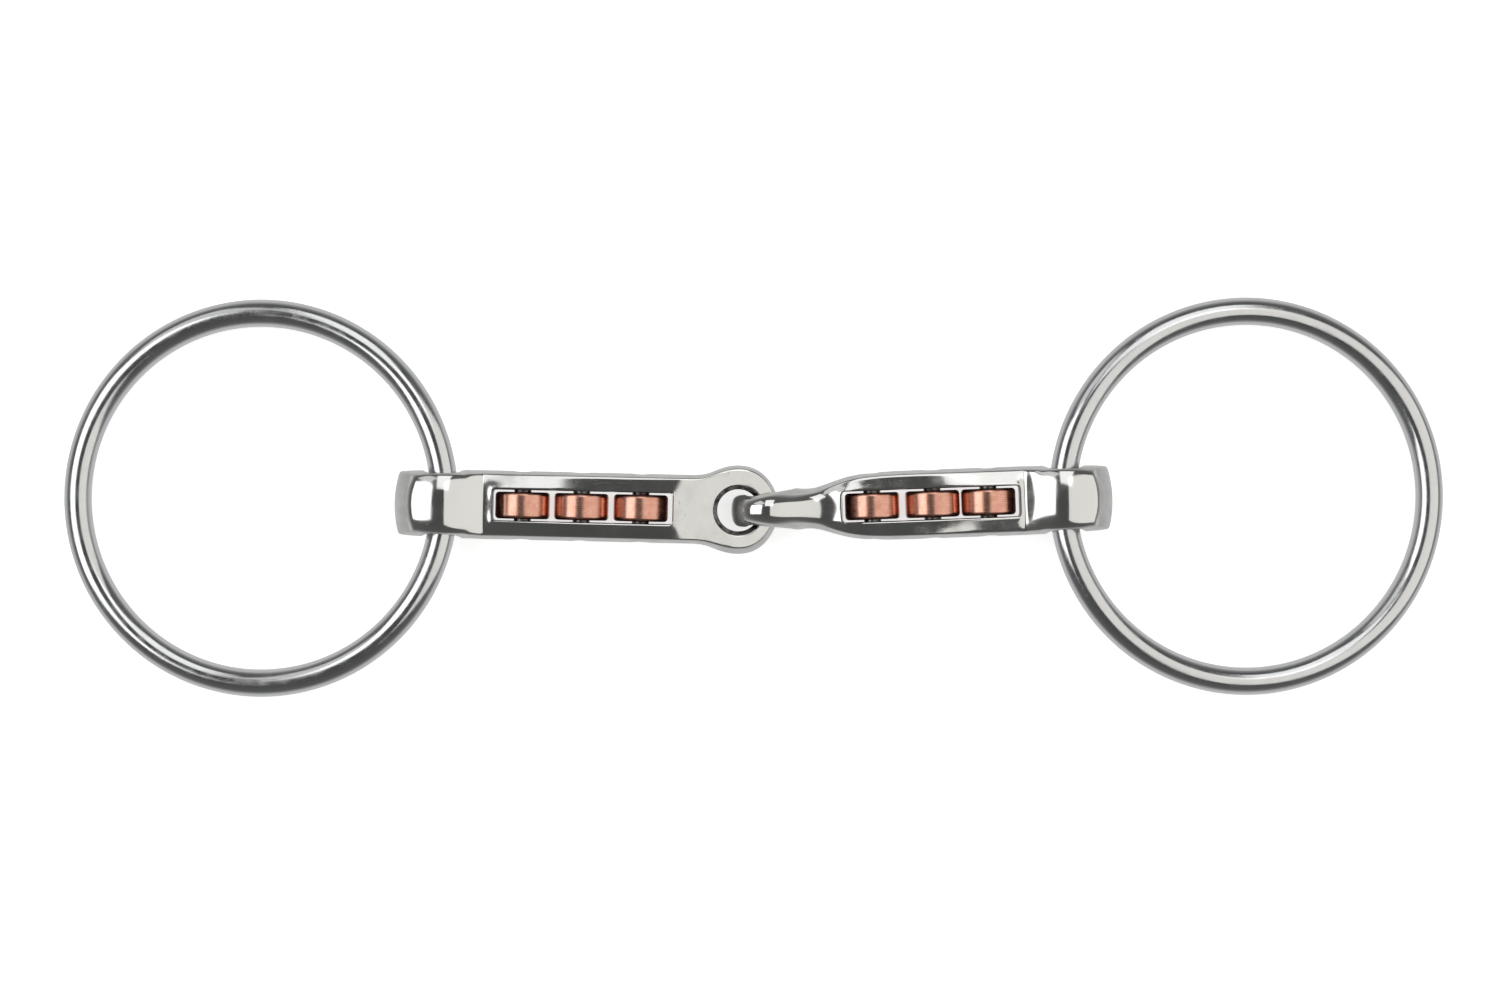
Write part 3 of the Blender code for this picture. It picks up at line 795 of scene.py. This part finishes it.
def handPolish(piece):
    # the grinding belt leaves the faces a little uneven
    verts = piece.data.vertices
    shifts = {}
    for face in piece.data.polygons:
        if face.material_index == faceSlot:
            for i in face.vertices:
                place = verts[i].co / hand["wavelength"]
                fine = hand["fineShare"] * noise.noise(place * hand["fineScale"])
                shifts[i] = verts[i].normal * (noise.noise(place) + fine) * hand["height"]
    for i, shift in shifts.items():
        verts[i].co += shift


def baked(piece):
    # the piece's modifiers become its mesh
    shape = bpy.data.meshes.new_from_object(piece.evaluated_get(bpy.context.evaluated_depsgraph_get()))
    piece.modifiers.clear()
    piece.data = shape


def drillPinHoles(piece, arm):
    bm = bmesh.new()
    for x in arm["pins"]:
        place = Matrix.Translation((x, 0, 0)) @ Matrix.Rotation(math.radians(90), 4, "X")
        radius = pinShape["radius"] + pinShape["gap"]
        bmesh.ops.create_cone(bm, cap_ends=True, segments=pinShape["steps"], radius1=radius, radius2=radius,
                              depth=3 * block["halfWidth"], matrix=place)
    for face in bm.faces:
        face.material_index = wallSlot
    drill = addObject("drill", bm, piece.data.materials)
    cut = piece.modifiers.new("pin holes", "BOOLEAN")
    cut.operation = "DIFFERENCE"
    cut.solver = "EXACT"
    cut.object = drill
    baked(piece)
    bpy.data.objects.remove(drill)


def makeArm(side, bm, paints):
    bmesh.ops.recalc_face_normals(bm, faces=bm.faces)
    piece = addObject(f"{side}Arm", bm, paints)
    rounding = piece.modifiers.new("rounding", "SUBSURF")
    rounding.levels = rounding.render_levels = fineness
    baked(piece)
    drillPinHoles(piece, arms[side])
    handPolish(piece)
    piece.data.transform(armPlace(side) @ Matrix.Scale(mm, 4))
    finishPiece(piece, f"{side}_arm", f"{side}_arm", 35)
    print(f"{side} arm: {len(piece.data.polygons)} faces")


ringWire = {"radius": 2.9 * mm, "sides": 40, "steps": 288}


def makeRing(side, paint):
    low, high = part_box(f"{side}_ring")
    centre = (low + high) / 2
    hole = jointPlace(f"{side}_ring_swing")
    axis = Vector(joints[f"{side}_ring_swing"]["axis"])
    inwards = hole - centre
    inwards = (inwards - axis * inwards.dot(axis)).normalized()
    place = turnedPlace(centre, inwards, inwards.cross(axis))
    radius = (high.y - low.y) / 2 - ringWire["radius"]
    bm = bmesh.new()
    aboutWire = bm.verts.layers.float.new("aboutWire")
    roundRing = bm.verts.layers.float.new("roundRing")
    lie = Matrix.Translation((-radius, 0, 0)) @ Matrix.Rotation(math.radians(90), 4, "X")
    section = bmesh.ops.create_circle(bm, segments=ringWire["sides"], radius=ringWire["radius"],
                                      matrix=lie)["verts"]
    for vert in section:
        vert[aboutWire] = abs(math.atan2(vert.co.z, vert.co.x + radius))
    edges = list({edge for vert in section for edge in vert.link_edges})
    bmesh.ops.spin(bm, geom=section + edges, cent=(0, 0, 0), axis=(0, 0, 1), angle=math.tau,
                   steps=ringWire["steps"], use_merge=True)
    for vert in bm.verts:
        vert[roundRing] = abs(math.atan2(vert.co.y, -vert.co.x))
    bmesh.ops.recalc_face_normals(bm, faces=bm.faces)
    bm.transform(place)
    piece = addObject(f"{side}Ring", bm, [paint])
    finishPiece(piece, f"{side}_ring", f"{side}_ring")


rollerShape = {
    "radius": 5.7,
    "halfWidth": 2.8,
    "edge": 0.8,
    "straight": 0.9,  # half the width of its straight middle
    "bore": 2.1,
    "chamfer": (0.3, 0.28),  # outwards from the bore, and along it
    "recess": 0.12,  # both ends are turned down by this round the bore
    "recessRadius": 3.3,
    "recessSlope": 0.15,
    "steps": 128,
}
pinShape = {"radius": 1.8, "gap": 0.12, "halfLength": 6.85, "chamfer": 0.25, "middle": 3.2, "steps": 48}


def spunPiece(name, upper, steps, place, paint, closed=True):
    # half a profile, as (distance from the pin's axis, distance along it), is mirrored and turned
    bm = bmesh.new()
    along = bm.verts.layers.float.new("alongPin")
    profile = [(radius, -y) for radius, y in reversed(upper)] + upper
    verts = [bm.verts.new((radius, y, 0)) for radius, y in profile]
    for vert in verts:
        vert[along] = vert.co.y * mm
    edges = [bm.edges.new((verts[i - 1], verts[i])) for i in range(0 if closed else 1, len(verts))]
    bmesh.ops.spin(bm, geom=verts + edges, cent=(0, 0, 0), axis=(0, 1, 0), angle=math.tau, steps=steps,
                   use_merge=True)
    bmesh.ops.remove_doubles(bm, verts=bm.verts, dist=0.001)
    bmesh.ops.recalc_face_normals(bm, faces=bm.faces)
    bm.transform(place @ Matrix.Scale(mm, 4))
    return addObject(name, bm, [paint])


def arcPoints(centre, radius, start, end, count):
    angles = [math.radians(start + (end - start) * i / count) for i in range(count + 1)]
    return [(centre[0] + radius * math.cos(angle), centre[1] + radius * math.sin(angle)) for angle in angles]


def pinPlace(side, name):
    middle = jointPlace(f"{side}_roller_{name}_spin")
    return turnedPlace(middle, armPlace(side).to_3x3().col[0], Vector((0, 0, 1)))


def makeRoller(side, name, paint):
    outside, half, edge, inside = (rollerShape[key] for key in ("radius", "halfWidth", "edge", "bore"))
    floor = half - rollerShape["recess"]
    chamferOut, chamferIn = rollerShape["chamfer"]
    corner = arcPoints((outside - edge, half - edge), edge, 0, 90, 8)
    rimmed = rollerShape["recessRadius"]
    recess = [(rimmed, half), (rimmed - rollerShape["recessSlope"], floor)]
    mouth = [(inside + chamferOut, floor), (inside, floor - chamferIn)]
    upper = [(outside, rollerShape["straight"])] + corner + recess + mouth
    node = f"{side}_roller_{name}"
    pieceName = f"{side}Roller{name.capitalize()}"
    piece = spunPiece(pieceName, upper, rollerShape["steps"], pinPlace(side, name), paint)
    finishPiece(piece, node, node)


def makePin(side, name, paint):
    radius, half, chamfer = (pinShape[key] for key in ("radius", "halfLength", "chamfer"))
    upper = [(radius, pinShape["middle"]), (radius, half - chamfer), (radius - chamfer, half), (0, half)]
    pieceName = f"{side}Pin{name.capitalize()}"
    piece = spunPiece(pieceName, upper, pinShape["steps"], pinPlace(side, name), paint, closed=False)
    finishPiece(piece, f"{side}_pin_{name}", f"{side}_arm")


makeStudio()
print("studio ready")
steelPaints = [polishedSteel(), satinSteel(), shadedCreviceSteel()]
makeArm("left", leftCage(), steelPaints)
makeArm("right", rightCage(), steelPaints)
ringPaint, rollerPaint, pinPaint = wireSteel(), rollerCopper(), pinSteel()
for side in ("left", "right"):
    makeRing(side, ringPaint)
    for name in pinNames:
        makeRoller(side, name, rollerPaint)
        makePin(side, name, pinPaint)
print("rings, rollers and pins ready")
